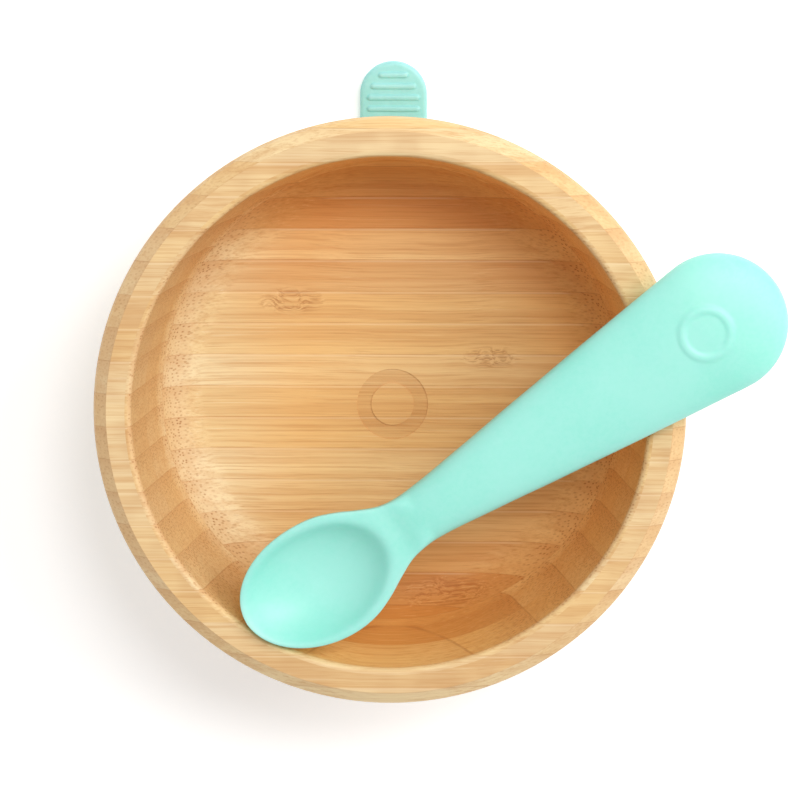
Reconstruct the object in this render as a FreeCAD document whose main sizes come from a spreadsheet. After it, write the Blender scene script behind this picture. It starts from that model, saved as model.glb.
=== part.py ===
"""Bamboo suction bowl with a silicone suction ring, its pull tab, and a silicone spoon.

Units are millimetres. +Z is up and z = 0 is the table top under the suction ring.
The origin is the centre of the ring on the table. The pull tab points along +Y and
the bamboo's fibres run along X.
"""

import FreeCAD, Part
import math
import os

import Sketcher
from FreeCAD import Placement, Rotation, Vector

DOC_NAME = "suction_bowl"
SHEET = "sizes"

X_AXIS = Vector(1, 0, 0)
Y_AXIS = Vector(0, 1, 0)
Z_AXIS = Vector(0, 0, 1)

FREE = "free"

# Driving dimensions: alias, value and what it is.
SIZES = [
    # the turned bamboo bowl
    ("rim_height", 60.0, "top of the rim above the table"),
    ("rim_outer", 62.4, "outer radius of the flat of the rim"),
    ("rim_inner", 58.3, "inner radius of the flat of the rim"),
    ("rim_round", 1.4, "radius of the rounded inner edge of the rim"),
    ("bowl_radius", 65.5, "largest radius, just under the rim"),
    ("bowl_widest_at", 56.0, "height of the largest radius"),
    ("bevel_foot", 65.0, "radius at the foot of the rim's outer bevel"),
    ("bevel_foot_at", 57.6, "height of the foot of the rim's outer bevel"),
    ("floor_height", 18.0, "top of the flat floor inside"),
    ("floor_radius", 43.0, "radius of the flat floor"),
    ("hollow_corner", 11.0, "radius of the corner between floor and wall"),
    ("belly_radius", 20.0, "radius of the outer corner under the wall"),
    ("belly_start", 41.8, "radius where the outer corner leaves the underside"),
    ("underside", 12.8, "height of the underside round the foot"),
    ("foot_radius", 41.0, "radius of the turned foot"),
    ("foot_bottom", 7.0, "height of the foot's bottom face"),
    ("foot_groove_radius", 39.2, "bottom radius of the groove round the foot"),
    ("foot_groove_low", 8.9, "lower side of the foot's groove"),
    ("foot_groove_high", 11.5, "upper side of the foot's groove"),
    # the plain ring burnt into the floor
    ("mark_outer", 8.2, "outer radius of the engraved ring"),
    ("mark_inner", 4.9, "inner radius of the engraved ring"),
    ("mark_depth", 0.3, "depth of the engraved ring"),
    ("mark_offset", -3.4, "how far the engraved ring lies from the axis, along Y"),
    # the laminated block that the bowl is turned from
    ("strip_width", 7.3, "width of one bamboo strip"),
    ("first_seam", -61.1, "place of the first glue seam along Y"),
    ("layer_height", 18.0, "height of one layer of strips"),
    ("block_length", 140.0, "length of a strip before turning"),
    # the silicone suction ring
    ("ring_outer", 47.0, "outer radius of the retaining ring"),
    ("ring_bore", 41.3, "bore of the retaining ring round the foot"),
    ("ring_ledge", 38.0, "inner radius of the ledge under the foot"),
    ("ring_bottom", 5.2, "height of the retaining ring's bottom face"),
    ("ring_top", 12.2, "height of the retaining ring's top face"),
    ("ring_round", 1.2, "radius of the retaining ring's outer edge"),
    ("bead_radius", 39.6, "inner radius of the bead that grips the groove"),
    ("bead_low", 9.2, "lower side of the bead"),
    ("bead_high", 11.2, "upper side of the bead"),
    ("skirt_top_inner", 42.6, "inner radius of the suction skirt at its top"),
    ("skirt_top_outer", 46.4, "outer radius of the suction skirt at its top"),
    ("skirt_edge", 52.0, "outer radius of the suction skirt on the table"),
    ("skirt_lip", 50.2, "inner radius of the skirt's contact face"),
    ("skirt_edge_height", 1.0, "height of the skirt's outer edge"),
    # the pull tab
    ("tab_width", 15.6, "width of the pull tab"),
    ("tab_straight", 14.9, "length of the tab from its hinge line to its round tip"),
    ("tab_thickness", 2.2, "thickness of the pull tab"),
    ("tab_round", 0.9, "radius of the tab's long edges"),
    ("tab_hinge_y", 52.6, "distance of the tab's hinge line from the axis"),
    ("tab_hinge_z", 1.7, "height of the tab's hinge line"),
    ("tab_rise", 7.0, "angle of the tab above the table, in degrees"),
    ("rib_width", 1.25, "width of a grip rib"),
    ("rib_height", 0.5, "height of a grip rib"),
    ("rib_pitch", 2.64, "distance from rib to rib"),
    ("rib_first", 3.1, "distance of the first rib from the tab's tip"),
    # the spoon, measured from the tip of its head along its own length
    ("spoon_tip_x", -31.0, "place of the head's tip along X"),
    ("spoon_tip_y", -47.8, "place of the head's tip along Y"),
    ("spoon_tip_z", 62.15, "height of the head's rim plane at its tip"),
    ("spoon_turn", 34.0, "angle of the spoon from X, seen from above, in degrees"),
    ("spoon_rise", 0.6, "angle of the spoon above the level, in degrees"),
    ("head_half_length", 19.5, "half the length of the spoon's head"),
    ("head_half_width", 13.7, "half the width of the spoon's head"),
    ("head_depth", 8.4, "depth of the head below its rim plane"),
    ("head_hollow_at", 18.2, "distance of the middle of the head's hollow"),
    ("head_hollow_length", 16.6, "half the length of the head's hollow"),
    ("head_hollow_width", 11.6, "half the width of the head's hollow"),
    ("head_hollow_depth", 6.4, "depth of the head's hollow"),
    ("neck_at", 44.0, "distance of the narrowest part of the neck"),
    ("neck_half_width", 6.25, "half the width of the neck"),
    ("neck_half_height", 3.7, "half the height of the neck"),
    ("neck_centre", -2.3, "height of the neck's centre over the rim plane"),
    ("grip_at", 123.5, "distance of the widest part of the handle"),
    ("grip_half_width", 15.4, "half the width of the handle there"),
    ("grip_half_height", 4.9, "half the height of the handle there"),
    ("grip_centre", 3.2, "height of the handle's centre there"),
    ("root_at", 33.3, "distance of the handle's hidden root inside the head"),
    ("root_half_width", 8.2, "half the width of the handle's root"),
    ("root_half_height", 3.3, "half the height of the handle's root"),
    ("root_centre", -3.7, "height of the root's centre over the rim plane"),
    ("emblem_radius", 5.3, "radius of the raised ring on the handle"),
    ("emblem_stroke", 1.1, "radius of the raised ring's own section"),
    ("emblem_at", 120.4, "distance of the raised ring's centre"),
    ("emblem_sink", 0.55, "how far the raised ring's centre lies under the surface"),
]

STRIP_COUNT = 19
LAYER_COUNT = 3
# Volume in mm3 under which a strip's offcut is sanded away with the rest.
SMALLEST_OFFCUT = 5.0
# Length of each grip rib over the tab's width, the first one nearest the tip.
RIB_LENGTHS = (0.44, 0.68, 0.78, 0.78)
# Where the handle's sections stand between the neck (0) and the widest place (1).
HANDLE_STEPS = (0.0, 0.2, 0.45, 0.75, 1.0)
# Angles round the handle's end at which its sections are taken, in degrees.
END_ANGLES = (25, 48, 66, 79, 86)

doc = FreeCAD.newDocument(DOC_NAME)


def make_sheet():
    """The spreadsheet that holds every driving dimension under its alias."""
    sheet = doc.addObject("Spreadsheet::Sheet", SHEET)
    for row, (alias, value, note) in enumerate(SIZES, start=1):
        sheet.set(f"A{row}", note)
        sheet.set(f"B{row}", str(value))
        sheet.setAlias(f"B{row}", alias)
    doc.recompute()
    return sheet


sheet = make_sheet()


def size(alias):
    """A driving dimension's value, for a starting guess or for plain geometry."""
    return float(getattr(sheet, alias))


def cell(alias):
    """The expression that reads a driving dimension."""
    return f"{SHEET}.{alias}"


# ---------------------------------------------------------------- sketch helpers


def origin_plane(body, role):
    """One of a body's own origin planes, such as XY_Plane."""
    return next(f for f in body.Origin.OriginFeatures if f.Role == role)


def new_sketch(body, name, role, lift=None):
    """A sketch on one of the body's origin planes, lifted by a driving dimension."""
    sketch = body.newObject("Sketcher::SketchObject", name)
    sketch.AttachmentSupport = [(origin_plane(body, role), "")]
    sketch.MapMode = "FlatFace"
    if lift:
        sketch.setExpression("AttachmentOffset.Base.z", lift)
    doc.recompute()
    return sketch


def bind(sketch, constraint, name, expression):
    """Adds a dimension to a sketch and binds it to the spreadsheet."""
    index = sketch.addConstraint(constraint)
    sketch.renameConstraint(index, name)
    sketch.setExpression(f"Constraints.{name}", expression)


def pin(sketch, edge, end, across, up, tag):
    """Fixes one end of an edge at two expressions. None puts it on the sketch's axis."""
    point = sketch.getPoint(edge, end)
    if across is None:
        sketch.addConstraint(Sketcher.Constraint("PointOnObject", edge, end, -2))
    else:
        distance = Sketcher.Constraint("DistanceX", -1, 1, edge, end, point.x)
        bind(sketch, distance, f"{tag}_across", across)
    if up is None:
        sketch.addConstraint(Sketcher.Constraint("PointOnObject", edge, end, -1))
    else:
        distance = Sketcher.Constraint("DistanceY", -1, 1, edge, end, point.y)
        bind(sketch, distance, f"{tag}_up", up)


def corner_at(name, across, up):
    """A corner of an outline whose two places are driving dimensions."""
    return (name, size(across), size(up), cell(across), cell(up))


def arc_edge(start, end, centre, radius, turn):
    """An arc from start to end, counter-clockwise when turn is 1 and clockwise when it is -1."""
    circle = Part.Circle(Vector(*centre, 0), Z_AXIS, radius)
    leaving = math.atan2(start.y - centre[1], start.x - centre[0])
    arriving = math.atan2(end.y - centre[1], end.x - centre[0])
    if turn > 0:
        return Part.ArcOfCircle(circle, leaving, arriving)
    return Part.ArcOfCircle(circle, arriving, leaving)


def outline(sketch, corners, arcs=None, smooth=()):
    """A closed outline through named corners.

    A corner is (name, across, up, across_expression, up_expression), and FREE in place
    of an expression leaves the corner to the outline's other rules. arcs maps the name
    of a corner to (centre, radius, turn, radius_expression) where the edge that leaves
    it is an arc. At each corner in smooth, the two edges are tangent.
    """
    arcs = arcs or {}
    count = len(corners)
    for number, (name, across, up, _, _) in enumerate(corners):
        after = corners[(number + 1) % count]
        start = Vector(across, up, 0)
        end = Vector(after[1], after[2], 0)
        if name in arcs:
            sketch.addGeometry(arc_edge(start, end, *arcs[name][:3]))
        else:
            sketch.addGeometry(Part.LineSegment(start, end))
    # a clockwise arc is stored from its far end, so its own first point is its end
    starts = [2 if c[0] in arcs and arcs[c[0]][2] < 0 else 1 for c in corners]
    for number in range(count):
        after = (number + 1) % count
        kind = "Tangent" if corners[after][0] in smooth else "Coincident"
        joint = (number, 3 - starts[number], after, starts[after])
        sketch.addConstraint(Sketcher.Constraint(kind, *joint))
    for number, (name, _, _, across, up) in enumerate(corners):
        if across != FREE:
            pin(sketch, number, starts[number], across, up, name)
        if name in arcs and arcs[name][3] != FREE:
            radius = Sketcher.Constraint("Radius", number, arcs[name][1])
            bind(sketch, radius, f"{name}_radius", arcs[name][3])
    doc.recompute()


def centre_over(sketch, edge, end):
    """Puts an arc's centre straight over or under one of its ends, so it leaves level."""
    sketch.addConstraint(Sketcher.Constraint("Vertical", edge, 3, edge, end))
    doc.recompute()


def revolve(body, sketch, name, kind="PartDesign::Revolution"):
    """Turns a sketch on the XZ plane through a full circle about the body's Z axis."""
    feature = body.newObject(kind, name)
    feature.Profile = sketch
    feature.ReferenceAxis = (sketch, ["V_Axis"])
    feature.Angle = 360.0
    doc.recompute()
    return feature


def new_body(label):
    body = doc.addObject("PartDesign::Body", label)
    body.Label = label
    doc.recompute()
    return body


# ------------------------------------------------------------ the bamboo bowl


def turned_bowl():
    """The bowl as one turned shape, with its foot groove and its engraved ring."""
    body = new_body("turned_bowl")
    sketch = new_sketch(body, "bowl_profile", "XZ_Plane")
    belly, hollow, edge = size("belly_radius"), size("hollow_corner"), size("rim_round")
    belly_centre = (size("belly_start"), size("underside") + belly)
    hollow_centre = (size("floor_radius"), size("floor_height") + hollow)
    edge_centre = (size("rim_inner"), size("rim_height") - edge)
    corners = [
        ("axis_low", 0, size("foot_bottom"), None, cell("foot_bottom")),
        corner_at("foot_low", "foot_radius", "foot_bottom"),
        corner_at("foot_high", "foot_radius", "underside"),
        corner_at("belly", "belly_start", "underside"),
        ("wall_low", belly_centre[0] + belly, belly_centre[1], FREE, FREE),
        corner_at("widest", "bowl_radius", "bowl_widest_at"),
        corner_at("bevel", "bevel_foot", "bevel_foot_at"),
        corner_at("rim_out", "rim_outer", "rim_height"),
        corner_at("rim_in", "rim_inner", "rim_height"),
        (
            "edge",
            edge_centre[0] - edge,
            edge_centre[1],
            f"{cell('rim_inner')} - {cell('rim_round')}",
            f"{cell('rim_height')} - {cell('rim_round')}",
        ),
        ("wall_in", hollow_centre[0] + hollow, hollow_centre[1], FREE, FREE),
        corner_at("floor_edge", "floor_radius", "floor_height"),
        ("axis_high", 0, size("floor_height"), None, cell("floor_height")),
    ]
    arcs = {
        "belly": (belly_centre, belly, 1, cell("belly_radius")),
        "rim_in": (edge_centre, edge, 1, cell("rim_round")),
        "wall_in": (hollow_centre, hollow, -1, cell("hollow_corner")),
    }
    names = [corner[0] for corner in corners]
    outline(sketch, corners, arcs, smooth=("wall_low", "wall_in"))
    centre_over(sketch, names.index("belly"), 1)
    centre_over(sketch, names.index("wall_in"), 1)
    revolve(body, sketch, "turning")

    groove = new_sketch(body, "foot_groove_profile", "XZ_Plane")
    past_foot = f"{cell('foot_radius')} + 0.4"
    low, high = size("foot_groove_low"), size("foot_groove_high")
    deep, out = size("foot_groove_radius"), size("foot_radius") + 0.4
    outline(
        groove,
        [
            ("deep_low", deep, low, cell("foot_groove_radius"), cell("foot_groove_low")),
            ("out_low", out, low, past_foot, cell("foot_groove_low")),
            ("out_high", out, high, past_foot, cell("foot_groove_high")),
            ("deep_high", deep, high, cell("foot_groove_radius"), cell("foot_groove_high")),
        ],
    )
    revolve(body, groove, "foot_groove", "PartDesign::Groove")

    mark = new_sketch(body, "engraving", "XY_Plane", cell("floor_height"))
    for name, alias in (("outer", "mark_outer"), ("inner", "mark_inner")):
        circle = Part.Circle(Vector(0, size("mark_offset"), 0), Z_AXIS, size(alias))
        edge = mark.addGeometry(circle)
        bind(mark, Sketcher.Constraint("Radius", edge, size(alias)), f"{name}_radius", cell(alias))
        pin(mark, edge, 3, None, cell("mark_offset"), f"{name}_centre")
    pocket = body.newObject("PartDesign::Pocket", "engraved_ring")
    pocket.Profile = mark
    pocket.Type = "Length"
    pocket.setExpression("Length", cell("mark_depth"))
    doc.recompute()
    return body


def slab(name, width, depth, height, corner):
    """A box whose three sizes and lowest corner are expressions."""
    box = doc.addObject("Part::Box", name)
    box.setExpression("Length", width)
    box.setExpression("Width", depth)
    box.setExpression("Height", height)
    for axis, place in zip("xyz", corner):
        box.setExpression(f"Placement.Base.{axis}", place)
    return box


def common(name, first, second):
    shared = doc.addObject("Part::Common", name)
    shared.Base = first
    shared.Tool = second
    return shared


def cut(name, base, tool):
    rest = doc.addObject("Part::Cut", name)
    rest.Base = base
    rest.Tool = tool
    return rest


def layers_of(bowl):
    """The turned shape, parted into the layers of the block, lowest first."""
    half = f"-{cell('block_length')} / 2"
    layers = []
    for number in range(LAYER_COUNT):
        low = f"{cell('rim_height')} - {LAYER_COUNT - number} * {cell('layer_height')}"
        length = cell("block_length")
        name = f"layer_{number + 1}"
        box = slab(f"{name}_block", length, length, cell("layer_height"), (half, half, low))
        layers.append(common(name, bowl, box))
    doc.recompute()
    return layers


def bamboo_strips(bowl):
    """The turned shape, parted into the strips of the glued block it was turned from.

    The lowest layer's strips make the floor and the foot, and the layers over it make
    the wall. A wall node is one row of strips through the upper layers, and where the
    hollow cuts through a strip, its two ends stay as separate solids.
    """
    layers = layers_of(bowl)
    groups = {"base_strip": layers[:1], "wall_strip": layers[1:]}
    half = f"-{cell('block_length')} / 2"
    low = f"{cell('rim_height')} - {LAYER_COUNT} * {cell('layer_height')}"
    tall = f"{LAYER_COUNT} * {cell('layer_height')}"
    nodes = []
    for row in range(STRIP_COUNT):
        near = f"{cell('first_seam')} + {row - 1} * {cell('strip_width')}"
        corner = (half, near, low)
        box = slab(f"row_{row + 1}_block", cell("block_length"), cell("strip_width"), tall, corner)
        doc.recompute()
        for group, group_layers in groups.items():
            label = f"{group}_{row + 1:02d}"
            lengths = [
                common(f"{label}_of_{layer.Name}", layer, box)
                for layer in group_layers
                if layer.Shape.common(box.Shape).Volume > SMALLEST_OFFCUT
            ]
            if not lengths:
                continue
            node = doc.addObject("Part::Compound", label)
            node.Label = label
            node.Links = lengths
            nodes.append(node)
    doc.recompute()
    return nodes


# ------------------------------------------------------- the silicone suction ring


def turned_ring(label, corners, arcs=None):
    """A ring turned from one closed outline on the XZ plane."""
    body = new_body(label)
    sketch = new_sketch(body, f"{label}_profile", "XZ_Plane")
    outline(sketch, corners, arcs)
    revolve(body, sketch, f"{label}_turning")
    return body


def retaining_ring():
    """The collar that holds the foot, with the ledge that the foot stands on."""
    edge = size("ring_round")
    out, top = size("ring_outer"), size("ring_top")
    corners = [
        corner_at("ledge_low", "ring_ledge", "ring_bottom"),
        corner_at("out_low", "ring_outer", "ring_bottom"),
        ("out_high", out, top - edge, cell("ring_outer"), f"{cell('ring_top')} - {cell('ring_round')}"),
        ("top_out", out - edge, top, f"{cell('ring_outer')} - {cell('ring_round')}", cell("ring_top")),
        corner_at("top_in", "ring_bore", "ring_top"),
        corner_at("bore_low", "ring_bore", "foot_bottom"),
        corner_at("ledge_high", "ring_ledge", "foot_bottom"),
    ]
    arcs = {"out_high": ((out - edge, top - edge), edge, 1, cell("ring_round"))}
    return turned_ring("retaining_ring", corners, arcs)


def grip_bead():
    """The bead inside the collar that snaps into the foot's groove."""
    return turned_ring(
        "grip_bead",
        [
            corner_at("low_in", "bead_radius", "bead_low"),
            corner_at("low_out", "ring_bore", "bead_low"),
            corner_at("high_out", "ring_bore", "bead_high"),
            corner_at("high_in", "bead_radius", "bead_high"),
        ],
    )


def suction_skirt():
    """The thin flared skirt that seals on the table."""
    return turned_ring(
        "suction_skirt",
        [
            ("lip_in", size("skirt_lip"), 0, cell("skirt_lip"), None),
            ("lip_out", size("skirt_edge"), 0, cell("skirt_edge"), None),
            corner_at("edge", "skirt_edge", "skirt_edge_height"),
            corner_at("top_out", "skirt_top_outer", "ring_bottom"),
            corner_at("top_in", "skirt_top_inner", "ring_bottom"),
        ],
    )


def release_tab():
    """The pull tab: a round-ended tongue with grip ribs across its top.

    Its own frame has the hinge line along X through the origin, half way up the
    tab's thickness, and the tab's length along Y.
    """
    body = new_body("release_tab")
    half = f"{cell('tab_thickness')} / 2"
    sketch = new_sketch(body, "tab_outline", "XY_Plane", f"-{half}")
    wide, straight = size("tab_width") / 2, size("tab_straight")
    wide_cell = f"{cell('tab_width')} / 2"
    corners = [
        ("root_left", -wide, 0, f"-{wide_cell}", None),
        ("root_right", wide, 0, wide_cell, None),
        ("tip_right", wide, straight, wide_cell, cell("tab_straight")),
        ("tip_left", -wide, straight, f"-{wide_cell}", cell("tab_straight")),
    ]
    tip = {"tip_right": ((0, straight), wide, 1, FREE)}
    outline(sketch, corners, tip, smooth=("tip_right",))
    pad = body.newObject("PartDesign::Pad", "tab_plate")
    pad.Profile = sketch
    pad.setExpression("Length", cell("tab_thickness"))
    doc.recompute()

    flat_edges = [
        f"Edge{number}"
        for number, edge in enumerate(pad.Shape.Edges, start=1)
        if edge.BoundBox.ZLength < 0.01
    ]
    rounding = body.newObject("PartDesign::Fillet", "tab_edges")
    rounding.Base = (pad, flat_edges)
    rounding.setExpression("Radius", cell("tab_round"))
    doc.recompute()

    ribs = new_sketch(body, "grip_ribs_outline", "XY_Plane", half)
    for number, share in enumerate(RIB_LENGTHS):
        first = f"{cell('tab_straight')} + {wide_cell} - {cell('rib_first')}"
        place = f"{first} - {number} * {cell('rib_pitch')}"
        along = straight + wide - size("rib_first") - number * size("rib_pitch")
        reach = f"({share} * {cell('tab_width')} - {cell('rib_width')}) / 2"
        pill(ribs, f"rib{number + 1}", along, share * wide - size("rib_width") / 2, place, reach)
    pad = body.newObject("PartDesign::Pad", "grip_ribs")
    pad.Profile = ribs
    pad.setExpression("Length", cell("rib_height"))
    doc.recompute()

    body.setExpression("Placement.Base.y", cell("tab_hinge_y"))
    body.setExpression("Placement.Base.z", cell("tab_hinge_z"))
    body.Placement.Rotation = Rotation(X_AXIS, size("tab_rise"))
    body.setExpression("Placement.Rotation.Angle", f"{cell('tab_rise')} * 1deg")
    doc.recompute()
    return body


def pill(sketch, name, along, reach, along_cell, reach_cell):
    """A round-ended bar across a sketch, centred on its vertical axis."""
    radius = size("rib_width") / 2
    quarter = math.pi / 2
    right = Part.Circle(Vector(reach, along, 0), Z_AXIS, radius)
    left = Part.Circle(Vector(-reach, along, 0), Z_AXIS, radius)
    cap_right = sketch.addGeometry(Part.ArcOfCircle(right, -quarter, quarter))
    cap_left = sketch.addGeometry(Part.ArcOfCircle(left, quarter, 3 * quarter))
    high = [Vector(reach, along + radius, 0), Vector(-reach, along + radius, 0)]
    low = [Vector(-reach, along - radius, 0), Vector(reach, along - radius, 0)]
    top = sketch.addGeometry(Part.LineSegment(*high))
    bottom = sketch.addGeometry(Part.LineSegment(*low))
    for joint in (
        (cap_right, 2, top, 1),
        (top, 2, cap_left, 1),
        (cap_left, 2, bottom, 1),
        (bottom, 2, cap_right, 1),
    ):
        sketch.addConstraint(Sketcher.Constraint("Tangent", *joint))
    sketch.addConstraint(Sketcher.Constraint("Horizontal", top))
    width = Sketcher.Constraint("Radius", cap_right, radius)
    bind(sketch, width, f"{name}_radius", f"{cell('rib_width')} / 2")
    pin(sketch, cap_right, 3, reach_cell, along_cell, f"{name}_right")
    far = Sketcher.Constraint("DistanceX", cap_left, 3, -1, 1, reach)
    bind(sketch, far, f"{name}_left_across", reach_cell)


# ------------------------------------------------------------------- the spoon


def ellipsoid(name, half_axes, place):
    """An ellipsoid with half axes along X, Y and Z, centred at (x, 0, z)."""
    solid = doc.addObject("Part::Ellipsoid", name)
    solid.Angle1 = -90
    solid.Angle2 = 90
    solid.Angle3 = 360
    for property_name, half_axis in zip(("Radius2", "Radius3", "Radius1"), half_axes):
        solid.setExpression(property_name, half_axis)
    solid.setExpression("Placement.Base.x", place[0])
    solid.setExpression("Placement.Base.z", place[1])
    return solid


def flat_ellipse(name):
    """An ellipse that stands across the spoon, with its long axis level."""
    section = doc.addObject("Part::Ellipse", name)
    section.Placement = Placement(Vector(), Rotation(Y_AXIS, Z_AXIS, X_AXIS, "ZXY"))
    return section


def bind_section(section, half_width, half_height, along, up):
    """Binds a section's half axes and its place to driving dimensions."""
    section.setExpression("MajorRadius", cell(half_width))
    section.setExpression("MinorRadius", cell(half_height))
    section.setExpression("Placement.Base.x", cell(along))
    section.setExpression("Placement.Base.z", cell(up))


def handle_section(number, share):
    """A section of the handle, at a share of the way from the neck to the widest place."""

    def between(low, high):
        return f"{cell(low)} + {share} * ({cell(high)} - {cell(low)})"

    section = flat_ellipse(f"handle_section_{number}")
    section.setExpression("MajorRadius", between("neck_half_width", "grip_half_width"))
    section.setExpression("MinorRadius", between("neck_half_height", "grip_half_height"))
    section.setExpression("Placement.Base.x", between("neck_at", "grip_at"))
    section.setExpression("Placement.Base.z", between("neck_centre", "grip_centre"))
    return section


def end_section(angle):
    """A section of the handle's round end, at an angle past its widest place."""
    section = flat_ellipse(f"end_section_{angle}")
    section.setExpression("MajorRadius", f"{cell('grip_half_width')} * cos({angle} deg)")
    section.setExpression("MinorRadius", f"{cell('grip_half_height')} * cos({angle} deg)")
    along = f"{cell('grip_at')} + {cell('grip_half_width')} * sin({angle} deg)"
    section.setExpression("Placement.Base.x", along)
    section.setExpression("Placement.Base.z", cell("grip_centre"))
    return section


def spoon():
    """A soft one-piece spoon, laid across the rim of the bowl.

    Its own frame has the tip of the head at the origin, its length along X and the
    head's rim in the XY plane.
    """
    head = ellipsoid(
        "head_outside",
        (cell("head_half_length"), cell("head_half_width"), cell("head_depth")),
        (cell("head_half_length"), "0"),
    )
    side = f"{cell('head_half_length')} * 2"
    over_head = slab("above_head", side, side, side, ("0", f"-{cell('head_half_length')}", "0"))
    level = cut("head_to_its_rim", head, over_head)
    root = flat_ellipse("handle_root")
    bind_section(root, "root_half_width", "root_half_height", "root_at", "root_centre")
    sections = [handle_section(n, share) for n, share in enumerate(HANDLE_STEPS)]
    sections += [end_section(angle) for angle in END_ANGLES]
    handle = doc.addObject("Part::Loft", "handle")
    handle.Sections = [root] + sections
    handle.Solid = True
    handle.Ruled = False
    emblem = doc.addObject("Part::Torus", "raised_ring")
    emblem.setExpression("Radius1", cell("emblem_radius"))
    emblem.setExpression("Radius2", cell("emblem_stroke"))
    emblem.setExpression("Placement.Base.x", cell("emblem_at"))
    surface = f"{cell('grip_centre')} + {cell('grip_half_height')}"
    emblem.setExpression("Placement.Base.z", f"{surface} - {cell('emblem_sink')}")
    blank = doc.addObject("Part::MultiFuse", "spoon_blank")
    blank.Shapes = [level, handle, emblem]
    hollow = ellipsoid(
        "head_hollow",
        (cell("head_hollow_length"), cell("head_hollow_width"), cell("head_hollow_depth")),
        (cell("head_hollow_at"), "0"),
    )
    whole = cut("spoon", blank, hollow)
    whole.Label = "spoon"
    doc.recompute()
    turn = Rotation(Z_AXIS, size("spoon_turn"))
    rise = Rotation(Y_AXIS, -size("spoon_rise"))
    tip = Vector(size("spoon_tip_x"), size("spoon_tip_y"), size("spoon_tip_z"))
    whole.Placement = Placement(tip, turn * rise)
    doc.recompute()
    return whole


# ------------------------------------------------------------ checks and export


def check(nodes):
    """Stops if any object failed or any sub-part has no sound shape."""
    for item in doc.Objects:
        if "Invalid" in item.State or "Error" in item.State:
            raise RuntimeError(f"{item.Name} failed: {item.State}")
    for node in nodes:
        shape = node.Shape
        if shape.isNull() or not shape.isValid() or not shape.Solids:
            raise RuntimeError(f"{node.Label} has no sound solid")


def check_volumes(bowl, strips):
    """The strips hold all of the bowl, and the groove and the engraving cut into it."""
    whole = bowl.Shape.Volume
    parted = sum(strip.Shape.Volume for strip in strips)
    if abs(parted - whole) > 1e-4 * whole:
        raise RuntimeError(f"the strips hold {parted:.0f} mm3 of {whole:.0f} mm3")
    turning = doc.getObject("turning").Shape.Volume
    grooved = doc.getObject("foot_groove").Shape.Volume
    if not whole < grooved < turning:
        raise RuntimeError("the foot groove or the engraving cuts nothing")


def main():
    bowl = turned_bowl()
    strips = bamboo_strips(bowl)
    others = [retaining_ring(), grip_bead(), suction_skirt(), release_tab(), spoon()]
    nodes = strips + others
    check(nodes)
    check_volumes(bowl, strips)
    os.makedirs("parts", exist_ok=True)
    for node in nodes:
        node.Shape.exportStep(f"parts/{node.Label}.step")
        box = node.Shape.BoundBox
        print(
            f"{node.Label}: {len(node.Shape.Solids)} solids, {node.Shape.Volume:.0f} mm3, "
            f"x {box.XMin:.1f}..{box.XMax:.1f} y {box.YMin:.1f}..{box.YMax:.1f} "
            f"z {box.ZMin:.1f}..{box.ZMax:.1f}"
        )


main()
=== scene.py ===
"""A bamboo suction bowl with its silicone suction ring and a silicone spoon, for Blender.

Lengths in the tables are millimetres, and meshes are made in metres.
"""

import math

import bpy
import numpy as np
from mathutils import Matrix, Vector


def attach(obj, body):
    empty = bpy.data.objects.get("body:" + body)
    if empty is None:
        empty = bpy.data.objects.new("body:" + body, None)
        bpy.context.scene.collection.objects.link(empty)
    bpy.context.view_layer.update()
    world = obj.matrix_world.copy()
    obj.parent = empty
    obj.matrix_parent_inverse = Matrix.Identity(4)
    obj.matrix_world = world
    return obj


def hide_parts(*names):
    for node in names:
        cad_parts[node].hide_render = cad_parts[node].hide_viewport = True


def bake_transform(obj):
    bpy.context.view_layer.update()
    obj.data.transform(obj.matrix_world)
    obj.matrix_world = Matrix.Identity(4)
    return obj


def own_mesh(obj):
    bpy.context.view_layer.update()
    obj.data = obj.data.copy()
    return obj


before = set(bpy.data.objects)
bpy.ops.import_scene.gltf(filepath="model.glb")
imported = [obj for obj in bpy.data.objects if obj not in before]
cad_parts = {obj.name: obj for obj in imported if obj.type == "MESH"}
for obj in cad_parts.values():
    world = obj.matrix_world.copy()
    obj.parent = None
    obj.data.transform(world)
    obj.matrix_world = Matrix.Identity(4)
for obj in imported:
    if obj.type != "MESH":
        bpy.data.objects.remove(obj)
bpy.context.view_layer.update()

MM = 0.001

# ------------------------------------------------------------------ small helpers


def linear(red, green, blue):
    """A colour given as screen values from 0 to 255, as the linear RGBA a shader takes."""
    shares = [value / 255 for value in (red, green, blue)]
    return [s / 12.92 if s <= 0.04045 else ((s + 0.055) / 1.055) ** 2.4 for s in shares] + [1.0]


def ramp(low, high, value):
    """A smooth step from 0 at low to 1 at high, for numbers and arrays."""
    share = np.clip((value - low) / (high - low), 0, 1)
    return share * share * (3 - 2 * share)


def through(points, places):
    """A smooth curve through (place, height) points, read at the places."""
    at = np.array([p[0] for p in points], float)
    height = np.array([p[1] for p in points], float)
    slope = np.gradient(height, at)
    places = np.clip(places, at[0], at[-1])
    span = np.clip(np.searchsorted(at, places) - 1, 0, len(at) - 2)
    width = at[span + 1] - at[span]
    share = (places - at[span]) / width
    square, cube = share**2, share**3
    return (
        (2 * cube - 3 * square + 1) * height[span]
        + (cube - 2 * square + share) * width * slope[span]
        + (3 * square - 2 * cube) * height[span + 1]
        + (cube - square) * width * slope[span + 1]
    )


def mesh_piece(name, points, faces, material):
    """A smooth-shaded piece from points in millimetres."""
    mesh = bpy.data.meshes.new(name)
    mesh.from_pydata((np.asarray(points) * MM).tolist(), [], faces)
    mesh.shade_smooth()
    mesh.update()
    piece = bpy.data.objects.new(name, mesh)
    bpy.context.scene.collection.objects.link(piece)
    mesh.materials.append(material)
    return piece


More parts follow.
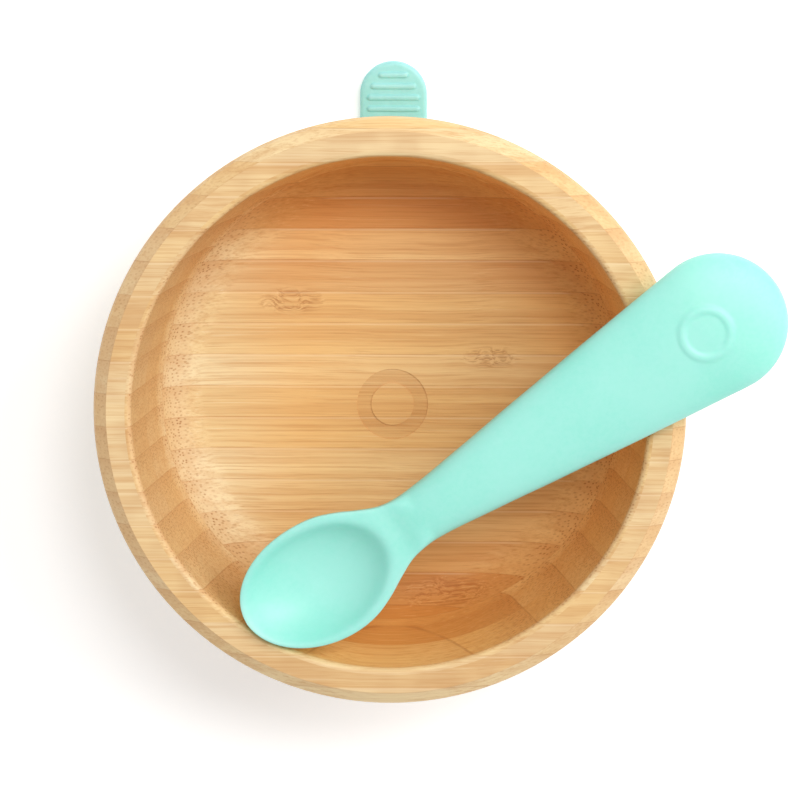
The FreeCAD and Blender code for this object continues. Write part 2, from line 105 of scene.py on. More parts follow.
def tube_faces(rings, around):
    """Quads between rings of points, and a fan at each end to one of the last two points."""
    faces = []
    for ring in range(rings - 1):
        for step in range(around):
            low, after = ring * around + step, ring * around + (step + 1) % around
            faces.append((low, after, after + around, low + around))
    first_end, last_end = rings * around, rings * around + 1
    last_ring = (rings - 1) * around
    for step in range(around):
        after = (step + 1) % around
        faces.append((after, step, first_end))
        faces.append((last_ring + step, last_ring + after, last_end))
    return faces


# ------------------------------------------------------------------ shader helpers


class Shader:
    """A material's node tree, with one short call for each kind of node."""

    def __init__(self, name):
        self.material = bpy.data.materials.new(name)
        self.material.use_nodes = True
        self.tree = self.material.node_tree
        self.surface = self.tree.nodes["Principled BSDF"]
        place = self.add("ShaderNodeTexCoord")
        self.normal = place.outputs["Normal"]
        # the place on the object in millimetres
        self.place = self.vector("SCALE", place.outputs["Object"], scale=1 / MM)

    def add(self, kind, inputs=(), **settings):
        node = self.tree.nodes.new(kind)
        for name, value in settings.items():
            setattr(node, name, value)
        for key, value in dict(inputs).items():
            self.feed(node.inputs[key], value)
        return node

    def feed(self, socket, value):
        if isinstance(value, bpy.types.NodeSocket):
            self.tree.links.new(value, socket)
        else:
            socket.default_value = value

    def math(self, operation, *values):
        return self.add("ShaderNodeMath", enumerate(values), operation=operation).outputs[0]

    def plus(self, first, second):
        return self.math("ADD", first, second)

    def minus(self, first, second):
        return self.math("SUBTRACT", first, second)

    def times(self, first, second):
        return self.math("MULTIPLY", first, second)

    def vector(self, operation, *values, scale=None):
        inputs = dict(enumerate(values))
        if scale is not None:
            inputs["Scale"] = scale
        return self.add("ShaderNodeVectorMath", inputs, operation=operation).outputs[0]

    def length(self, vector):
        node = self.add("ShaderNodeVectorMath", {0: vector}, operation="LENGTH")
        return node.outputs["Value"]

    def split(self, vector):
        return self.add("ShaderNodeSeparateXYZ", {0: vector}).outputs

    def join(self, x, y, z):
        return self.add("ShaderNodeCombineXYZ", {0: x, 1: y, 2: z}).outputs[0]

    def step(self, value, low, high, start=0.0, end=1.0):
        """A smooth step from start at low to end at high."""
        node = self.add("ShaderNodeMapRange", {"Value": value}, interpolation_type="SMOOTHSTEP")
        limits = {"From Min": low, "From Max": high, "To Min": start, "To Max": end}
        for name, limit in limits.items():
            self.feed(node.inputs[name], limit)
        return node.outputs[0]

    def noise(self, vector, scale, detail=2.0, roughness=0.5):
        inputs = {"Vector": vector, "Scale": scale, "Detail": detail, "Roughness": roughness}
        return self.add("ShaderNodeTexNoise", inputs).outputs["Fac"]

    def mix(self, share, first, second, blend="MIX"):
        node = self.add("ShaderNodeMix", data_type="RGBA", blend_type=blend)
        self.feed(node.inputs[0], share)
        self.feed(node.inputs[6], first)
        self.feed(node.inputs[7], second)
        return node.outputs[2]

    def tint(self, share, colour, tint):
        """The colour, multiplied by a tint where share is 1."""
        return self.mix(share, colour, self.mix(1.0, colour, tint, "MULTIPLY"))

    def set(self, **values):
        """Fills the surface's own sockets, named with _ for a space."""
        for name, value in values.items():
            self.feed(self.surface.inputs[name.replace("_", " ")], value)

    def bump(self, height, strength, depth):
        inputs = {"Height": height, "Strength": strength, "Distance": depth}
        self.set(Normal=self.add("ShaderNodeBump", inputs).outputs[0])


# ------------------------------------------------------------------ bamboo

STRIP_WIDTH = 7.3
FIRST_SEAM = -61.1
LAYER_HEIGHT = 18.0
LAYER_LOW = 6.0
# Knuckles of the cane: place along the fibres, across them and up, then half the length and width.
KNUCKLES = (
    (-23.2, 20.6, 18.0, 8.5, 3.6),
    (22.6, 7.4, 18.0, 7.5, 3.2),
    (12.0, -47.0, 20.5, 15.0, 5.0),
    (-4.0, 55.5, 33.0, 9.0, 4.0),
    (-38.0, -33.0, 56.0, 6.0, 3.0),
)
KNUCKLE_HIGH = 5.0
# Strips cut from darker cane: row, layer and how dark.
DARK_STRIPS = (
    (1, 0, 0.9), (2, 0, 0.75), (3, 0, 0.25), (0, 1, 0.6), (1, 1, 0.6),
    (14, 0, 0.5), (16, 1, 0.5), (12, 0, 0.35), (7, 2, 0.2),
)
PALE, HONEY, AMBER = linear(247, 220, 169), linear(242, 206, 146), linear(228, 186, 128)
DARK_CANE, SKIN_SIDE = linear(212, 152, 88), linear(206, 146, 84)
BROAD_STREAK, FINE_STREAK = linear(214, 160, 98), linear(200, 142, 82)
PALE_STREAK, HAIR_STREAK = linear(252, 230, 188), linear(192, 134, 78)
END_GRAIN, DOT, KNUCKLE = linear(232, 192, 144), linear(184, 126, 76), linear(168, 100, 46)
GLUE, BESIDE_GLUE, BURNT = linear(176, 108, 54), linear(252, 226, 184), linear(182, 116, 56)
# The plain ring burnt into the floor: its place, its radii and the heights it lies between.
MARK_Y, MARK_INNER, MARK_OUTER, MARK_LOW, MARK_TOP = -3.4, 4.9, 8.2, 15.0, 17.9
# The hollow of the bowl, painted a little deeper and warmer in tone as shade.
HOLLOW_RADIUS, HOLLOW_SHADE_TOP = 58.0, 59.0
HOLLOW_SHADE_TINT = (1.0, 0.93, 0.81, 1.0)
# Painted light and shade in the hollow: painted light on the floor towards -X, painted shade on
# the wall towards -X, warm painted shade on the rest of the wall, painted shade on the rest of the
# floor's edge, and painted shade on the wall towards +Y.
LOW_X_FLOOR_LIGHT_TINT, LOW_X_WALL_SHADE_TINT = (0.95, 1.08, 1.25, 1.0), (0.92, 0.92, 0.85, 1.0)
SHADED_WALL_TINT, SHADED_FLOOR_EDGE_TINT = (1.07, 0.98, 0.80, 1.0), (0.95, 0.82, 0.66, 1.0)
SHADED_FAR_WALL_TINT = (1.07, 0.94, 0.81, 1.0)
# Heights between which the floor's painted light and shade change into the wall's.
FLOOR_TONE_TO, WALL_TONE_FROM = 19.0, 30.0
# Each strip's grain is read from its own place in the noise, up to this far away.
GRAIN_APART, GRAIN_ALONG = 57.0, 90.0
FIBRE_STRETCH = 0.012


def knuckle_share(s, x, y, z):
    """How much of a knuckle there is, from 0 to 1."""
    knuckle = 0.0
    for along, across, up, half_length, half_width in KNUCKLES:
        away = s.join(
            s.math("DIVIDE", s.minus(x, along), half_length),
            s.math("DIVIDE", s.minus(y, across), half_width),
            s.math("DIVIDE", s.minus(z, up), KNUCKLE_HIGH),
        )
        knuckle = s.math("MAXIMUM", knuckle, s.step(s.length(away), 1.0, 0.45))
    return knuckle


def dark_share(s, row, layer):
    """How dark the strip is that a place lies in."""
    dark = 0.0
    for strip_row, strip_layer, share in DARK_STRIPS:
        in_row = s.math("COMPARE", row, strip_row, 0.2)
        own = s.times(in_row, s.math("COMPARE", layer, strip_layer, 0.2))
        dark = s.plus(dark, s.times(own, share))
    return dark


def painted_hollow_shading(s, colour, inside, x, y, z, radius):
    """The colour with painted light and shade in the bowl's hollow."""
    # painted shade over the hollow below the rim
    hollow_shade_mask = s.times(inside, s.step(z, HOLLOW_SHADE_TOP + 0.6, HOLLOW_SHADE_TOP - 1.4))
    on_wall = (FLOOR_TONE_TO, WALL_TONE_FROM)
    # towards -X: painted light on the floor and painted shade on the wall; elsewhere in the
    # hollow: painted shade
    low_x_light_and_shade = s.mix(s.step(z, *on_wall), LOW_X_FLOOR_LIGHT_TINT, LOW_X_WALL_SHADE_TINT)
    colour = s.tint(hollow_shade_mask, colour, s.mix(s.step(x, -18.0, -46.0), HOLLOW_SHADE_TINT, low_x_light_and_shade))
    # painted shade towards +X: warmer on the wall, darker on the floor's edge
    deep = s.times(s.step(radius, 28.0, 47.0), s.step(x, -40.0, -10.0))
    shaded_side_tint = s.mix(s.step(z, *on_wall), SHADED_FLOOR_EDGE_TINT, SHADED_WALL_TINT)
    colour = s.tint(s.times(hollow_shade_mask, deep), colour, shaded_side_tint)
    # painted shade on the wall towards +Y
    return s.tint(s.times(hollow_shade_mask, s.step(y, 14.0, 46.0)), colour, SHADED_FAR_WALL_TINT)


def burnt_share(s, x, y, z, fine):
    """How much of the burnt ring there is."""
    from_mark = s.vector("SUBTRACT", s.join(x, y, 0.0), (0.0, MARK_Y, 0.0))
    radius = s.length(from_mark)
    in_ring = s.times(
        s.step(radius, MARK_INNER - 0.1, MARK_INNER + 0.1),
        s.step(radius, MARK_OUTER + 0.1, MARK_OUTER - 0.1),
    )
    in_ring = s.times(in_ring, s.math("LESS_THAN", z, MARK_TOP))
    in_ring = s.times(in_ring, s.math("GREATER_THAN", z, MARK_LOW))
    return s.times(in_ring, s.step(fine, 0.25, 0.7, 0.14, 0.24))


def bamboo():
    """Laminated bamboo: strips with their own tone, fibres along X, dotted end grain."""
    s = Shader("bamboo")
    x, y, z = s.split(s.place)
    layer_place = s.math("DIVIDE", s.minus(z, LAYER_LOW), LAYER_HEIGHT)
    layer = s.math("FLOOR", layer_place)
    # the strips of the lowest layer lie half a strip aside, as bricks do
    stagger = s.times(s.math("LESS_THAN", layer, 0.5), 0.5)
    row_place = s.plus(s.math("DIVIDE", s.minus(y, FIRST_SEAM), STRIP_WIDTH), stagger)
    row = s.math("FLOOR", row_place)
    cell = s.add("ShaderNodeTexWhiteNoise", {"Vector": s.join(row, layer, 3.7)})
    tone, spare = cell.outputs["Value"], s.split(cell.outputs["Color"])
    # at the cane's knuckles the fibres swirl and darken
    knuckle = knuckle_share(s, x, y, z)

    # fibres wander a little along each strip, and each strip has its own
    drift = s.times(s.minus(s.noise(s.place, 0.03, 1.0), 0.5), 2.0)
    swirl = s.times(s.minus(s.noise(s.place, 0.13, 2.0, 0.3), 0.5), 7.0)
    shift = s.plus(drift, s.times(swirl, knuckle))
    own_y = s.plus(s.plus(y, shift), s.times(spare[0], GRAIN_APART))
    own_z = s.plus(s.plus(z, shift), s.times(spare[1], GRAIN_APART))
    along_fibre = s.times(s.plus(x, s.times(spare[2], GRAIN_ALONG)), FIBRE_STRETCH)
    fibre = s.join(along_fibre, own_y, own_z)
    broad = s.noise(fibre, 0.42, 2.0, 0.5)
    fine = s.noise(fibre, 2.2, 3.0, 0.6)
    hair = s.noise(fibre, 6.5, 2.0, 0.6)
    bundles = s.add(
        "ShaderNodeTexVoronoi",
        {"Vector": s.join(own_y, own_z, 0.0), "Scale": 1.15, "Randomness": 0.85},
        voronoi_dimensions="2D",
    ).outputs["Distance"]
    dots = s.step(bundles, 0.30, 0.12)

    # end grain shows where a surface faces along the fibres
    facing_fibres = s.math("ABSOLUTE", s.split(s.normal)[0])
    end_grain = s.step(facing_fibres, 0.12, 0.75)

    def on_end_grain(elsewhere, there):
        return s.step(end_grain, 0.0, 1.0, elsewhere, there)

    colour = s.mix(s.step(tone, 0.1, 0.7), HONEY, PALE)
    colour = s.mix(s.step(tone, 0.78, 1.0, 0.0, 0.8), colour, AMBER)
    colour = s.mix(dark_share(s, row, layer), colour, DARK_CANE)
    # each strip is denser and darker towards the side that was the skin of the cane
    skin = s.minus(row_place, row)
    colour = s.mix(s.times(s.step(skin, 0.35, 1.0), on_end_grain(0.12, 0.52)), colour, SKIN_SIDE)
    colour = s.mix(s.step(broad, 0.40, 0.68, 0.0, 0.42), colour, BROAD_STREAK)
    colour = s.mix(s.step(fine, 0.46, 0.72, 0.0, 0.42), colour, FINE_STREAK)
    colour = s.mix(s.step(fine, 0.42, 0.24, 0.0, 0.40), colour, PALE_STREAK)
    hair_share = s.times(s.step(hair, 0.52, 0.74, 0.0, 0.25), on_end_grain(1.0, 0.3))
    colour = s.mix(hair_share, colour, HAIR_STREAK)
    colour = s.mix(on_end_grain(0.0, 0.5), colour, END_GRAIN)
    radius = s.length(s.join(x, y, 0.0))
    inside = s.step(radius, HOLLOW_RADIUS + 0.8, HOLLOW_RADIUS - 0.8)
    patches = s.step(s.noise(s.place, 0.25, 1.0), 0.3, 0.7, 0.5, 1.0)
    strength = s.times(patches, s.step(inside, 0.0, 1.0, 0.32, 0.8))
    strength = s.times(strength, s.step(skin, 0.0, 0.9, 0.6, 1.25))
    dot_share = s.times(s.times(dots, on_end_grain(0.15, 1.0)), strength)
    colour = s.mix(dot_share, colour, DOT)
    knuckle_lines = s.times(knuckle, s.step(fine, 0.44, 0.62, 0.06, 0.48))
    colour = s.mix(knuckle_lines, colour, KNUCKLE)
    # painted light and shade in the bowl's hollow
    colour = painted_hollow_shading(s, colour, inside, x, y, z, radius)

    # the glue lines between strips, with a pale edge beside them on level surfaces
    row_offset = s.minus(row_place, s.math("ROUND", row_place))
    layer_offset = s.minus(layer_place, s.math("ROUND", layer_place))
    row_gap = s.times(s.math("ABSOLUTE", row_offset), STRIP_WIDTH)
    layer_gap = s.times(s.math("ABSOLUTE", layer_offset), LAYER_HEIGHT)
    glue = s.math("MAXIMUM", s.step(row_gap, 0.15, 0.03), s.step(layer_gap, 0.2, 0.03, 0.0, 0.6))
    glue_wear = s.step(s.noise(s.place, 0.12, 1.0), 0.3, 0.7, 0.10, 0.42)
    colour = s.mix(s.times(glue, glue_wear), colour, GLUE)
    from_seam = s.times(row_offset, STRIP_WIDTH)
    beside = s.times(s.step(from_seam, -0.75, -0.35), s.step(from_seam, -0.12, -0.30))
    level = s.step(s.math("ABSOLUTE", s.split(s.normal)[2]), 0.90, 0.99, 0.0, 0.30)
    colour = s.mix(s.times(beside, level), colour, BESIDE_GLUE)
    colour = s.mix(burnt_share(s, x, y, z, fine), colour, BURNT)

    rough = s.plus(fine, s.times(end_grain, 0.3))
    s.set(Base_Color=colour, Roughness=s.step(rough, 0.2, 1.0, 0.42, 0.66))
    s.surface.inputs["Specular IOR Level"].default_value = 0.35
    grain_height = s.plus(s.times(fine, 0.6), s.times(dots, -0.4))
    s.bump(s.minus(grain_height, s.times(glue, 0.4)), 0.3, 0.0001)
    return s.material


# ------------------------------------------------------------------ silicone


RING_PALE, RING_DEEP = linear(168, 227, 226), linear(152, 217, 214)
SPOON_PALE, SPOON_DEEP = linear(169, 240, 227), linear(153, 236, 220)
DUST = linear(226, 250, 244)


def silicone(name, pale, deep):
    """Soft matte silicone: a little light goes in. Fine moulded texture and faint clouding."""
    s = Shader(name)
    cloud = s.noise(s.place, 0.035, 3.0, 0.55)
    mottle = s.noise(s.place, 0.9, 2.0, 0.6)
    tone = s.plus(s.times(cloud, 0.75), s.times(mottle, 0.25))
    colour = s.mix(s.step(tone, 0.32, 0.68), deep, pale)
    dust_share = s.step(s.noise(s.place, 3.2, 2.0, 0.7), 0.70, 0.82, 0.0, 0.12)
    colour = s.mix(dust_share, colour, DUST)
    skin = s.noise(s.place, 7.0, 2.0, 0.6)
    s.set(Base_Color=colour, Roughness=s.step(s.plus(skin, mottle), 0.6, 1.4, 0.40, 0.54))
    surface = s.surface.inputs
    surface["Specular IOR Level"].default_value = 0.6
    surface["Subsurface Weight"].default_value = 0.35
    surface["Subsurface Scale"].default_value = 0.005
    surface["Subsurface Radius"].default_value = (0.7, 1.0, 0.9)
    s.bump(skin, 0.12, 0.00006)
    return s.material


# ------------------------------------------------------------------ turned silicone rings

TURN_STEPS = 240
ARC_STEPS = 7
# The most of an edge that one corner's rounding takes up.
MOST_OF_EDGE = 0.49


def rounded(corners):
    """An outline in (radius, height) whose corners (radius, height, rounding) are rounded."""
    points = []
    count = len(corners)
    for number, (across, up, rounding) in enumerate(corners):
        corner = Vector((across, up))
        before = Vector(corners[number - 1][:2]) - corner
        after = Vector(corners[(number + 1) % count][:2]) - corner
        if rounding <= 0:
            points.append(tuple(corner))
            continue
        half = before.angle(after) / 2
        room = MOST_OF_EDGE * min(before.length, after.length)
        back = min(rounding / math.tan(half), room)
        start, end = corner + before.normalized() * back, corner + after.normalized() * back
        for step in range(ARC_STEPS):
            share = step / (ARC_STEPS - 1)
            near = start.lerp(corner, share)
            far = corner.lerp(end, share)
            points.append(tuple(near.lerp(far, share)))
    return points


def turned(name, corners, material):
    """A ring turned about Z from a closed outline."""
    outline = rounded(corners)
    around = len(outline)
    points = []
    for step in range(TURN_STEPS):
        angle = 2 * math.pi * step / TURN_STEPS
        points += [(r * math.cos(angle), r * math.sin(angle), h) for r, h in outline]
    faces = []
    for step in range(TURN_STEPS):
        low, high = step * around, (step + 1) % TURN_STEPS * around
        for edge in range(around):
            after = (edge + 1) % around
            faces.append((low + edge, high + edge, high + after, low + after))
    return mesh_piece(name, points, faces, material)


# Outlines of the rings as (radius, height, rounding).
RING_OUTLINE = (
    (38.0, 5.2, 0.3),
    (47.0, 5.2, 0.35),
    (47.0, 12.2, 1.2),
    (41.3, 12.2, 0.5),
    (41.3, 7.0, 0.0),
    (38.0, 7.0, 0.5),
)
BEAD_OUTLINE = ((39.6, 9.2, 0.9), (41.5, 9.2, 0.0), (41.5, 11.2, 0.0), (39.6, 11.2, 0.9))
SKIRT_OUTLINE = (
    (42.6, 5.2, 0.0),
    (46.4, 5.2, 0.2),
    (47.1, 4.1, 1.5),
    (49.6, 2.3, 2.5),
    (52.0, 1.0, 0.5),
    (52.0, 0.0, 0.4),
    (50.2, 0.0, 0.4),
    (47.6, 1.5, 2.5),
    (43.9, 4.2, 1.0),
)

# ------------------------------------------------------------------ the pull tab

TAB_HINGE = Vector((0.0, 52.6, 1.7))
TAB_RISE = math.radians(7.0)
# Half the tab's width, its straight length, half its thickness and the rounding of its edges.
TAB_HALF, TAB_STRAIGHT = 7.8, 14.9
TAB_HALF_THICK, TAB_ROUND = 1.1, 0.9
# The root runs this far back into the skirt, and widens from FLARE_FROM on.
TAB_ROOT, FLARE_FROM, ROOT_FLARE = -3.2, 3.0, 1.8
# The grip ribs: the first one's place from the tip, the pitch, and each one's share of the width.
RIB_FIRST, RIB_PITCH, RIB_SHARES = 3.1, 2.64, (0.44, 0.68, 0.78, 0.78)
RIB_HALF, RIB_HEIGHT = 0.66, 0.55
TAB_AROUND, TAB_STRAIGHT_STEPS, TAB_TIP_STEPS = 128, 150, 70
# Sines below this count as 0.
TINY = 1e-9


def pull_tab(material):
    """The round-ended tab with its grip ribs. Its root runs into the skirt's edge."""
    places = np.concatenate([
        np.linspace(TAB_ROOT, TAB_STRAIGHT, TAB_STRAIGHT_STEPS, endpoint=False),
        TAB_STRAIGHT + TAB_HALF * np.sin(np.linspace(0, math.pi / 2, TAB_TIP_STEPS)[:-1]),
    ])
    past = np.maximum(places - TAB_STRAIGHT, 0)
    half = np.sqrt(TAB_HALF**2 - past**2) + ROOT_FLARE * ramp(FLARE_FROM, TAB_ROOT, places)
    turn = np.linspace(0, 2 * math.pi, TAB_AROUND, endpoint=False)
    across = half[:, None] * np.cos(turn)
    along = np.repeat(places[:, None], TAB_AROUND, axis=1)
    to_edge = np.where(
        along > TAB_STRAIGHT,
        TAB_HALF - np.hypot(across, along - TAB_STRAIGHT),
        half[:, None] - np.abs(across),
    )
    inside = np.clip(TAB_ROUND - to_edge, 0, TAB_ROUND)
    height = TAB_HALF_THICK - TAB_ROUND + np.sqrt(TAB_ROUND**2 - inside**2)
    on_top = np.sin(turn) >= -TINY
    sides = np.abs(np.sin(turn)) < TINY
    up = np.where(sides, 0.0, np.where(on_top, height, -height))
    for number, share in enumerate(RIB_SHARES):
        rib_place = TAB_STRAIGHT + TAB_HALF - RIB_FIRST - number * RIB_PITCH
        reach = share * TAB_HALF - RIB_HALF
        gap = np.hypot(np.maximum(np.abs(across) - reach, 0), along - rib_place)
        rib = RIB_HEIGHT * np.sqrt(np.clip(1 - (gap / RIB_HALF) ** 3, 0, 1))
        up += np.where(on_top & ~sides, rib, 0)
    points = np.stack([across, along, up], axis=-1).reshape(-1, 3)
    ends = [(0, TAB_ROOT, 0), (0, TAB_STRAIGHT + TAB_HALF, 0)]
    points = np.concatenate([points, ends])
    spin = np.array(Matrix.Rotation(TAB_RISE, 3, "X"))
    points = points @ spin.T + np.array(TAB_HINGE)
    faces = [face[::-1] for face in tube_faces(len(places), TAB_AROUND)]
    return mesh_piece("pull_tab", points, faces, material)


# ------------------------------------------------------------------ the spoon

SPOON_TIP = Vector((-31.0, -47.8, 62.15))
SPOON_TURN, SPOON_RISE = math.radians(34.0), math.radians(0.6)
# The head: half its length and width, and its depth.
HEAD_HALF, HEAD_WIDE, HEAD_DEEP = 19.5, 13.7, 8.4
# The head's tip leans to one side and back: how far, over what length, and how it fades.
LEAN, LEAN_BACK, LEAN_LONG, LEAN_POWER = 1.15, 0.4, 22.0, 1.4
# The head's hollow: its place, half its length and width, its depth, and how soft its lip is.
HOLLOW_AT, HOLLOW_LONG, HOLLOW_WIDE, HOLLOW_DEEP = 18.2, 16.6, 11.6, 6.4
LIP_WIDE, LIP_SOFT = 0.07, 0.02
# The handle where it is widest: its place, half its width and height, and its middle's height.
GRIP_AT, GRIP_WIDE, GRIP_HIGH, GRIP_CENTRE = 123.5, 15.4, 4.9, 3.2
# The crease between head and handle, where the flat rim turns into the handle's round back.
CREASE_AT, CREASE_BEFORE, CREASE_AFTER = 40.5, 1.5, 6.0
RIM_POWER, BACK_POWER = 8.0, 2.25
# How gently the rim's edge sinks at the tip of the head.
EDGE_EASE = 0.9
# Half the width along the spoon from the middle of the head to the widest of the handle.
HALF_WIDTHS = (
    (17.0, 13.6), (19.5, 13.7), (22.0, 13.6), (26.0, 12.9), (30.5, 11.15), (34.8, 8.9),
    (39.2, 6.95), (43.6, 6.28), (47.8, 6.45), (52.3, 6.88), (56.7, 7.43), (65.4, 8.5),
    (74.0, 9.65), (82.8, 10.7), (91.6, 11.8), (100.3, 12.82), (109.0, 13.83), (117.5, 14.8),
    (121.5, 15.27), (123.5, 15.4), (125.5, 15.27),
)
# Heights along the spoon, over the plane of the head's rim.
UNDERSIDE = (
    (17.0, -8.34), (19.5, -8.4), (25.0, -8.08), (30.0, -7.45), (33.3, -7.1), (38.0, -6.7),
    (44.0, -6.0), (60.0, -5.12), (80.0, -4.02), (100.0, -2.95), (115.0, -2.15), (121.5, -1.74),
    (123.5, -1.7), (125.5, -1.74),
)
TOP_LINE = (
    (30.0, 0.0), (36.0, 0.0), (CREASE_AT, 0.05), (43.0, 0.55), (47.0, 1.2), (53.0, 1.95),
    (60.0, 2.65), (80.0, 4.45), (100.0, 6.2), (115.0, 7.6), (121.5, 8.06), (123.5, 8.1),
    (125.5, 8.06),
)
EDGE_LINE = (
    (30.0, -0.85), (36.0, -1.1), (44.0, -2.0), (60.0, -1.15), (80.0, 0.2), (100.0, 1.6),
    (115.0, 2.75), (123.5, 3.2), (132.0, 3.2),
)
# The plain raised ring near the end of the handle: place, radius, half width and height.
RING_AT, RING_RADIUS, RING_HALF, RING_HIGH = 120.4, 5.3, 0.85, 0.34
SPOON_AROUND, END_STEPS = 216, 64


def spoon_outline(places):
    """Half width, top, edge and underside along the spoon."""
    to_middle = np.clip((HEAD_HALF - places) / HEAD_HALF, 0, 1)
    head = np.sqrt(1 - to_middle**2)
    past = np.clip((places - GRIP_AT) / GRIP_WIDE, 0, 1)
    end = np.sqrt(1 - past**2)
    in_head, in_end = places < HEAD_HALF, places > GRIP_AT
    half = np.where(in_end, GRIP_WIDE * end, through(HALF_WIDTHS, places))
    half = np.where(in_head, HEAD_WIDE * head, half)
    low = np.where(in_head, -HEAD_DEEP * head, through(UNDERSIDE, places))
    low = np.where(in_end, GRIP_CENTRE - GRIP_HIGH * end, low)
    top = np.where(in_end, GRIP_CENTRE + GRIP_HIGH * end, through(TOP_LINE, places))
    edge = through(EDGE_LINE, places)
    deep = HEAD_DEEP * head
    eased = edge * deep / (deep + EDGE_EASE) * (HEAD_DEEP + EDGE_EASE) / HEAD_DEEP
    return half, top, np.where(in_head, eased, edge), low


def hollow_depth(along, across):
    """Depth of the head's hollow, with a softly rounded lip."""
    inside = 1 - ((along - HOLLOW_AT) / HOLLOW_LONG) ** 2 - (across / HOLLOW_WIDE) ** 2
    eased = np.logaddexp(0, inside / LIP_WIDE) * LIP_WIDE
    start = math.sqrt(LIP_SOFT)
    return HOLLOW_DEEP * (np.sqrt(eased + LIP_SOFT) - start) / (math.sqrt(1 + LIP_SOFT) - start)


def upper_surface(along, across):
    """Height of the spoon's upper surface."""
    half, top, edge, _ = spoon_outline(along)
    share = np.clip(np.abs(across) / np.maximum(half, 1e-6), 0, 1)
    rounder = ramp(CREASE_AT - CREASE_BEFORE, CREASE_AT + CREASE_AFTER, along)
    power = RIM_POWER + (BACK_POWER - RIM_POWER) * rounder
    crown = edge + (top - edge) * (1 - share**power) ** (1 / power)
    from_ring = (np.hypot(along - RING_AT, across) - RING_RADIUS) / RING_HALF
    ring = RING_HIGH * np.exp(-(from_ring**4))
    return crown + ring - hollow_depth(along, across) * (along < HEAD_HALF * 2.2)


def spoon_frame():
    """The turn and place of the spoon's own frame, in millimetres."""
    spin = Matrix.Rotation(SPOON_TURN, 3, "Z") @ Matrix.Rotation(-SPOON_RISE, 3, "Y")
    return np.array(spin), np.array(SPOON_TIP)


def spoon(material):
    """The one-piece spoon: a hollowed oval head, a waist, and a plump handle."""
    # closer together where the surface bends or carries the ring
    places = np.concatenate([
        HEAD_HALF * (1 - np.cos(np.linspace(0, math.pi / 2, END_STEPS)[1:])),
        np.arange(HEAD_HALF + 0.45, 50, 0.45),
        np.arange(50.5, RING_AT - 8.0, 1.15),
        np.arange(RING_AT - 7.5, GRIP_AT - 0.1, 0.35),
        GRIP_AT + GRIP_WIDE * np.sin(np.linspace(0, math.pi / 2, END_STEPS)[:-1]),
    ])
    half, _, edge, low = spoon_outline(places)
    turn = np.linspace(0, 2 * math.pi, SPOON_AROUND, endpoint=False)
    across = half[:, None] * np.cos(turn)
    along = np.repeat(places[:, None], SPOON_AROUND, axis=1)
    below = edge[:, None] + (edge - low)[:, None] * np.minimum(np.sin(turn), 0)
    up = np.where(np.sin(turn) > TINY, upper_surface(along, across), below)
    fade = np.clip(1 - along / LEAN_LONG, 0, 1) ** LEAN_POWER
    points = np.stack([along + LEAN_BACK * fade, across + LEAN * fade, up], axis=-1)
    ends = [(LEAN_BACK, LEAN, 0), (GRIP_AT + GRIP_WIDE, 0, GRIP_CENTRE)]
    points = np.concatenate([points.reshape(-1, 3), ends])
    spin, tip = spoon_frame()
    faces = tube_faces(len(places), SPOON_AROUND)
    return mesh_piece("spoon_body", points @ spin.T + tip, faces, material)


# ------------------------------------------------------------------ the object


def dress_bamboo(material):
    """Gives every bamboo strip of the frame the bamboo material."""
    for name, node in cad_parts.items():
        if "_strip_" in name:
            node.data.materials.clear()
            node.data.materials.append(material)


def build():
    dress_bamboo(bamboo())
    ring_silicone = silicone("ring_silicone", RING_PALE, RING_DEEP)
    spoon_silicone = silicone("spoon_silicone", SPOON_PALE, SPOON_DEEP)

    collar = turned("retaining_collar", RING_OUTLINE, ring_silicone)
    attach(collar, "base_ring")
    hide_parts("retaining_ring")

    bead = turned("foot_bead", BEAD_OUTLINE, ring_silicone)
    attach(bead, "base_ring")
    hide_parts("grip_bead")

    skirt = turned("flared_skirt", SKIRT_OUTLINE, ring_silicone)
    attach(skirt, "skirt")
    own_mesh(skirt)
    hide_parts("suction_skirt")

    tab = pull_tab(ring_silicone)
    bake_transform(tab)
    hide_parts("release_tab")

    body = spoon(spoon_silicone)
    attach(body, "spoon")
    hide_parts("spoon")


# ------------------------------------------------------------------ floor, light, camera

# Everything here is in metres. The camera looks down, leaning a little back and to the right.
VIEW_TARGET = Vector((0.00239, 0.00342, 0.060))
VIEW_DISTANCE = 0.8
VIEW_BACK, VIEW_RIGHT = math.radians(7.95), math.radians(0.88)
FOCAL_LENGTH, SENSOR_WIDTH = 163.8, 36.0
NEAREST, FARTHEST = 0.02, 20.0
# Area lights: name, place, width, power and colour.
LIGHTS = (
    ("key", (0.80, 0.46, 0.96), 0.8, 8.1, (1.0, 0.985, 0.965)),
    ("top", (0.22, 0.44, 1.18), 0.35, 4.7, (1.0, 0.99, 0.98)),
)
LIGHTS_AIM = Vector((0, 0, 0.03))
WHITE = (1.0, 1.0, 1.0, 1.0)
SKY_STRENGTH, FLOOR_GLOW = 0.49, 0.31
FLOOR_HALF = 3.0


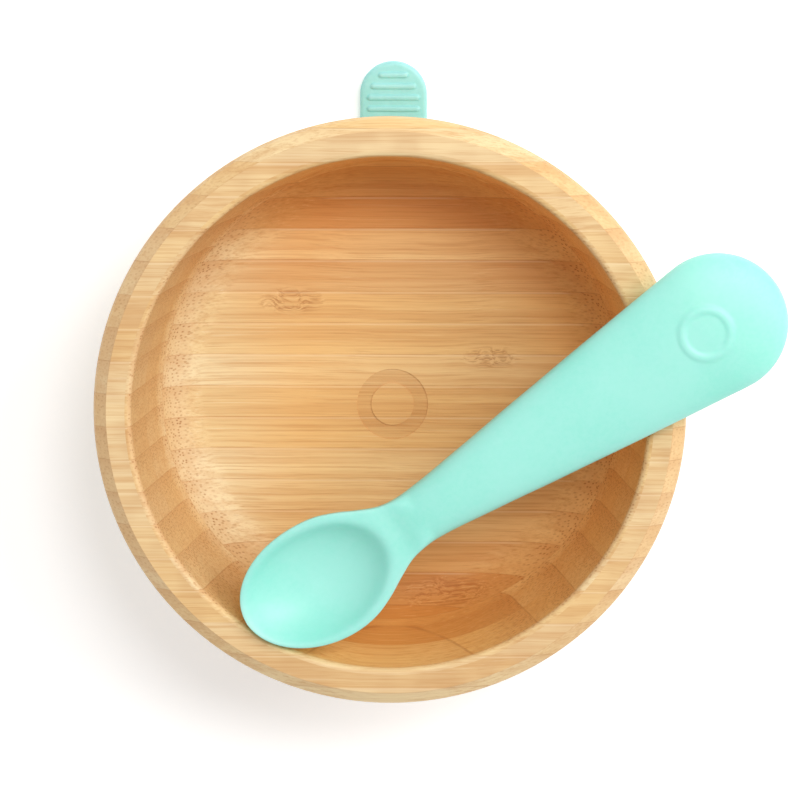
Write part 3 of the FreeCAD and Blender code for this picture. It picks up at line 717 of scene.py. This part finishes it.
def facing(place, target, up=Vector((0, 1, 0))):
    """The matrix of a camera or light at a place, looking at a target."""
    back = (place - target).normalized()
    side = up.cross(back).normalized()
    spin = Matrix((side, back.cross(side), back)).transposed()
    return Matrix.Translation(place) @ spin.to_4x4()


def area_light(name, place, width, power, colour):
    data = bpy.data.lights.new(name, "AREA")
    data.shape = "DISK"
    data.size = width
    data.energy = power
    data.color = colour
    light = bpy.data.objects.new(name, data)
    bpy.context.scene.collection.objects.link(light)
    light.matrix_world = facing(Vector(place), LIGHTS_AIM)


def studio():
    scene = bpy.context.scene
    scene.view_settings.view_transform = "Standard"
    world = bpy.data.worlds.new("studio")
    scene.world = world
    world.use_nodes = True
    sky = world.node_tree.nodes["Background"]
    sky.inputs["Color"].default_value = WHITE
    sky.inputs["Strength"].default_value = SKY_STRENGTH
    for light in LIGHTS:
        area_light(*light)

    white = Shader("studio_floor")
    patch = white.noise(white.place, 0.01, 2.0)
    pale = white.mix(patch, linear(250, 250, 250), linear(253, 253, 253))
    white.set(Base_Color=pale, Roughness=0.7)
    white.surface.inputs["Emission Color"].default_value = WHITE
    white.surface.inputs["Emission Strength"].default_value = FLOOR_GLOW
    side = FLOOR_HALF
    corners = [(-side, -side, 0), (side, -side, 0), (side, side, 0), (-side, side, 0)]
    mesh = bpy.data.meshes.new("studio_floor")
    mesh.from_pydata(corners, [], [(0, 1, 2, 3)])
    mesh.materials.append(white.material)
    floor = bpy.data.objects.new("studio_floor", mesh)
    scene.collection.objects.link(floor)

    lens = bpy.data.cameras.new("camera")
    lens.lens, lens.sensor_width = FOCAL_LENGTH, SENSOR_WIDTH
    lens.clip_start, lens.clip_end = NEAREST, FARTHEST
    camera = bpy.data.objects.new("camera", lens)
    scene.collection.objects.link(camera)
    level = math.cos(VIEW_BACK)
    away = Vector((math.sin(VIEW_RIGHT), math.sin(VIEW_BACK), level)).normalized()
    camera.matrix_world = facing(VIEW_TARGET + VIEW_DISTANCE * away, VIEW_TARGET)
    scene.camera = camera


build()
studio()
